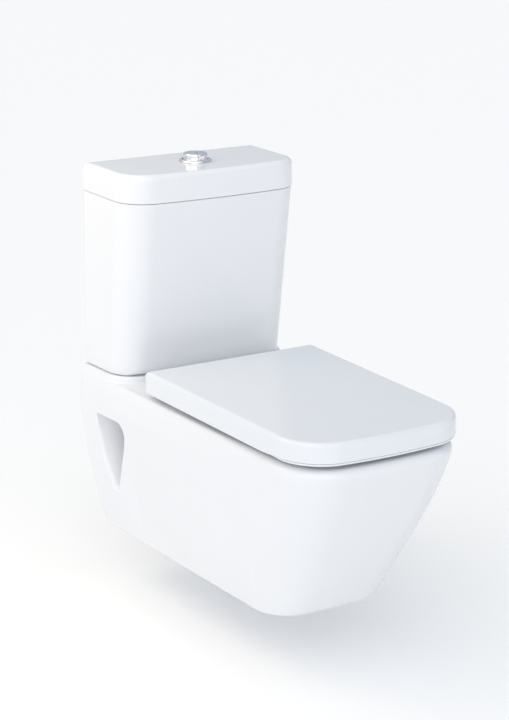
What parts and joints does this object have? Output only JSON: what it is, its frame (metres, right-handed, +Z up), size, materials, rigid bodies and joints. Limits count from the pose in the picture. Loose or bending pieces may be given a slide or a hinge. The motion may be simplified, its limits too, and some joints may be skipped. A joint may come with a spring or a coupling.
{
  "type": "close coupled toilet",
  "caption": "Wall-hung close coupled toilet: tapered ceramic pan, cistern with lift-off lid and dual push button, soft-close seat and lid, with flush and fill valves.",
  "frame": {"origin": "midway between the two wall studs, on the pan's flat back face (the wall plane)", "axes": "+Z up, +Y into the wall, so the toilet points to -Y; +X is to the right of someone who faces the toilet"},
  "size_m": [0.379, 0.7147, 0.7041],
  "materials": {
    "glaze": "white high-gloss vitreous glaze",
    "seat_white": "white polished thermoset",
    "chrome": "bright chrome plating",
    "steel": "zinc-plated or stainless steel",
    "brass": "plain brass",
    "white_plastic": "moulded white plastic",
    "grey_plastic": "moulded grey plastic",
    "blue_plastic": "moulded blue plastic",
    "rubber": "black rubber",
    "pad": "soft pale grey cushion rubber"
  },
  "bodies": {
    "root": {"bolt_seal_left": "rubber", "bolt_seal_right": "rubber", "bolt_washer_left": "steel", "bolt_washer_right": "steel", "cistern_tank": "glaze", "coupling_bolt_left": "brass", "coupling_bolt_right": "brass", "coupling_gasket": "rubber", "fill_valve": "grey_plastic", "fill_valve_nut": "white_plastic", "fill_valve_washer": "rubber", "flush_valve_basket": "white_plastic", "flush_valve_nut": "white_plastic", "hinge_bolt_left": "steel", "hinge_bolt_right": "steel", "hinge_pin_left": "steel", "hinge_pin_right": "steel", "hinge_plug_left": "rubber", "hinge_plug_right": "rubber", "hinge_post_left": "chrome", "hinge_post_right": "chrome", "pan": "glaze", "stud_nut_left": "steel", "stud_nut_right": "steel", "stud_sleeve_left": "white_plastic", "stud_sleeve_right": "white_plastic", "stud_washer_left": "white_plastic", "stud_washer_right": "white_plastic", "wall_stud_left": "steel", "wall_stud_right": "steel", "wing_nut_left": "brass", "wing_nut_right": "brass"},
    "seat": {"seat_ring": "seat_white", "seat_pad_front_left": "pad", "seat_pad_front_right": "pad", "seat_pad_rear_left": "pad", "seat_pad_rear_right": "pad"},
    "lid": {"seat_lid": "seat_white", "lid_pad_front_left": "pad", "lid_pad_front_right": "pad", "lid_pad_rear_left": "pad", "lid_pad_rear_right": "pad"},
    "cistern_cover": {"cistern_lid": "glaze", "button_collar": "chrome", "button_nut": "white_plastic"},
    "full_flush": {"full_flush_button": "chrome", "full_flush_rod": "white_plastic"},
    "half_flush": {"half_flush_button": "chrome", "half_flush_rod": "white_plastic"},
    "full_plunger": {"full_flush_plunger": "grey_plastic"},
    "half_plunger": {"half_flush_plunger": "grey_plastic"},
    "canister": {"flush_canister": "blue_plastic", "flush_seal": "rubber"},
    "float": {"fill_float": "blue_plastic", "float_link": "grey_plastic"},
    "lever": {"float_lever": "grey_plastic"}
  },
  "joints": [
    {"name": "seat_hinge", "type": "hinge", "parent": "root", "child": "seat", "pos_m": [0, -0.222, 0.131], "axis": [-1, 0, 0], "range_deg": [0, 93]},
    {"name": "lid_hinge", "type": "hinge", "parent": "seat", "child": "lid", "pos_m": [0, -0.222, 0.131], "axis": [1, 0, 0], "range_deg": [-93, 0]},
    {"name": "cistern_lid_lift", "type": "slide", "parent": "root", "child": "cistern_cover", "axis": [0, 0, 1], "range_m": [0, 0.06]},
    {"name": "full_press", "type": "slide", "parent": "cistern_cover", "child": "full_flush", "axis": [0, 0, -1], "range_m": [0, 0.007], "stiffness_N_per_m": 400, "springref_m": -0.01},
    {"name": "half_press", "type": "slide", "parent": "cistern_cover", "child": "half_flush", "axis": [0, 0, -1], "range_m": [0, 0.007], "stiffness_N_per_m": 400, "springref_m": -0.01},
    {"name": "full_plunger_slide", "type": "slide", "parent": "root", "child": "full_plunger", "axis": [0, 0, -1], "range_m": [0, 0.007]},
    {"name": "half_plunger_slide", "type": "slide", "parent": "root", "child": "half_plunger", "axis": [0, 0, -1], "range_m": [0, 0.007]},
    {"name": "canister_lift", "type": "slide", "parent": "root", "child": "canister", "axis": [0, 0, 1], "range_m": [0, 0.0141]},
    {"name": "float_slide", "type": "slide", "parent": "root", "child": "float", "axis": [0, 0, 1], "range_m": [-0.008, 0]},
    {"name": "float_lever_turn", "type": "hinge", "parent": "root", "child": "lever", "pos_m": [0.099, -0.066, 0.383], "axis": [0, 1, 0], "range_deg": [-20.5, 0]}
  ],
  "couplings": [
    {"joint": "full_plunger_slide", "follows": "full_press", "ratio": 1},
    {"joint": "half_plunger_slide", "follows": "half_press", "ratio": 1},
    {"joint": "canister_lift", "follows": "full_press", "ratio": 2},
    {"joint": "float_lever_turn", "follows": "float_slide", "rad_per_m": 44}
  ]
}
